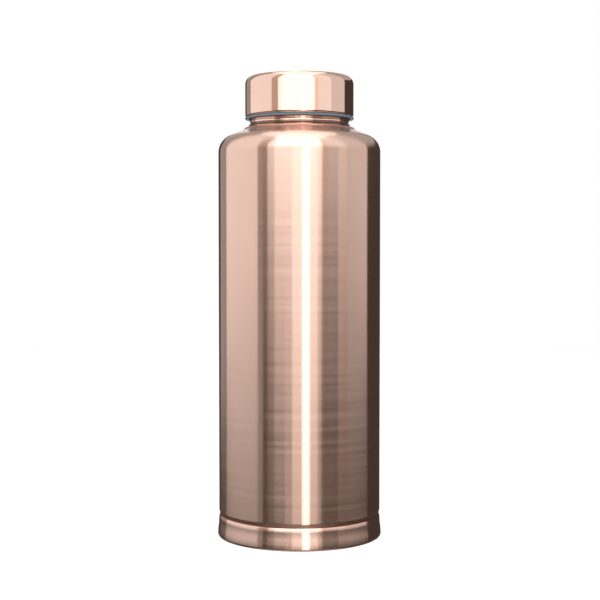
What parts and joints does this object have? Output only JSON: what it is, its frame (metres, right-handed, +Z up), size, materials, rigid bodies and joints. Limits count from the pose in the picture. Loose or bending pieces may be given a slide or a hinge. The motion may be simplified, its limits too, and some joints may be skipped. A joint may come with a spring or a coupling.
{
  "type": "water bottle",
  "caption": "Tall cylindrical copper bottle with a rounded shoulder, a lapped base cup and a screw cap that unscrews and lifts off.",
  "frame": {"origin": "centre of the base, in the plane of the ring that the bottle stands on", "axes": "+Z up along the bottle's axis, from the base to the cap; X and Y are across it, and only the threads' start angles depend on them"},
  "size_m": [0.0812, 0.0812, 0.2272],
  "materials": {
    "brushed_copper": "satin",
    "polished_copper": "polished",
    "braze_filler": "satin",
    "liner_plastic": "satin",
    "grey_silicone": "satin",
    "white_silicone": "matte"
  },
  "bodies": {
    "bottle": {"body_shell": "brushed_copper", "base_cup": "brushed_copper", "base_braze": "braze_filler", "neck_collar": "polished_copper", "neck_braze": "braze_filler"},
    "gasket": {"mouth_gasket": "white_silicone"},
    "cap": {"cap_shell": "polished_copper", "cap_liner": "liner_plastic", "rim_seal_ring": "grey_silicone"}
  },
  "joints": [
    {"name": "cap_rise", "type": "slide", "parent": "bottle", "child": "gasket", "axis": [0, 0, 1], "range_m": [0, 0.02]},
    {"name": "cap_turn", "type": "hinge", "parent": "gasket", "child": "cap", "pos_m": [0, 0, 0.2147], "axis": [0, 0, 1], "range_deg": [0, 1440]}
  ],
  "couplings": [
    {"joint": "cap_rise", "follows": "cap_turn", "m_per_rad": 0.00079577}
  ]
}
